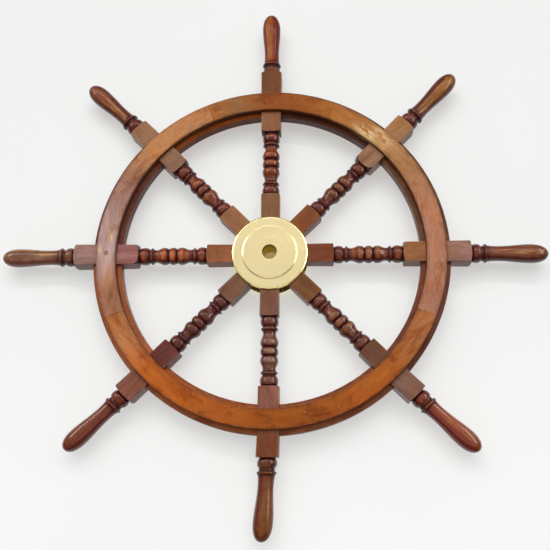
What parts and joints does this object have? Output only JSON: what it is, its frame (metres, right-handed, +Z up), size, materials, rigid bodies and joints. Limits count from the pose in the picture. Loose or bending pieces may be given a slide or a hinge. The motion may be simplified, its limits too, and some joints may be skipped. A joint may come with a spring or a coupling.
{
  "type": "ship steering wheel",
  "caption": "Spoked wooden steering wheel with turned spokes and handles, a layered segmented rim and a bored brass hub for a steering shaft.",
  "frame": {"origin": "centre of the wheel, on its turning axis at the middle of the rim's depth", "axes": "+Y along the turning axis from front to rear, +Z up along spoke_1, +X to the right seen from the front"},
  "size_m": [0.914, 0.049, 0.914],
  "materials": {
    "spoke_wood": "gloss varnish over red-brown stain",
    "front_felloe_wood": "satin varnish, worn lighter where hands rub",
    "middle_felloe_wood": "satin varnish",
    "rear_felloe_wood": "satin varnish",
    "plug_wood": "satin varnish over end grain",
    "brass": "polished",
    "screw_brass": "polished",
    "screw_steel": "plain"
  },
  "bodies": {
    "root": {"spoke_1": "spoke_wood", "spoke_2": "spoke_wood", "spoke_3": "spoke_wood", "spoke_4": "spoke_wood", "spoke_5": "spoke_wood", "spoke_6": "spoke_wood", "spoke_7": "spoke_wood", "spoke_8": "spoke_wood", "front_felloe_1": "front_felloe_wood", "front_felloe_2": "front_felloe_wood", "front_felloe_3": "front_felloe_wood", "front_felloe_4": "front_felloe_wood", "front_felloe_5": "front_felloe_wood", "front_felloe_6": "front_felloe_wood", "front_felloe_7": "front_felloe_wood", "front_felloe_8": "front_felloe_wood", "middle_felloe_1": "middle_felloe_wood", "middle_felloe_2": "middle_felloe_wood", "middle_felloe_3": "middle_felloe_wood", "middle_felloe_4": "middle_felloe_wood", "middle_felloe_5": "middle_felloe_wood", "middle_felloe_6": "middle_felloe_wood", "middle_felloe_7": "middle_felloe_wood", "middle_felloe_8": "middle_felloe_wood", "rear_felloe_1": "rear_felloe_wood", "rear_felloe_2": "rear_felloe_wood", "rear_felloe_3": "rear_felloe_wood", "rear_felloe_4": "rear_felloe_wood", "rear_felloe_5": "rear_felloe_wood", "rear_felloe_6": "rear_felloe_wood", "rear_felloe_7": "rear_felloe_wood", "rear_felloe_8": "rear_felloe_wood", "rim_screw_1": "screw_steel", "rim_screw_2": "screw_steel", "rim_screw_3": "screw_steel", "rim_screw_4": "screw_steel", "rim_screw_5": "screw_steel", "rim_screw_6": "screw_steel", "rim_screw_7": "screw_steel", "rim_screw_8": "screw_steel", "rim_plug_1": "plug_wood", "rim_plug_2": "plug_wood", "rim_plug_3": "plug_wood", "rim_plug_4": "plug_wood", "rim_plug_5": "plug_wood", "rim_plug_6": "plug_wood", "rim_plug_7": "plug_wood", "rim_plug_8": "plug_wood", "hub_sleeve": "brass", "front_hub_plate": "brass", "rear_hub_plate": "brass", "hub_screw_1": "screw_brass", "hub_screw_2": "screw_brass", "hub_screw_3": "screw_brass", "hub_screw_4": "screw_brass", "hub_screw_5": "screw_brass", "hub_screw_6": "screw_brass", "hub_screw_7": "screw_brass", "hub_screw_8": "screw_brass"}
  },
  "joints": []
}
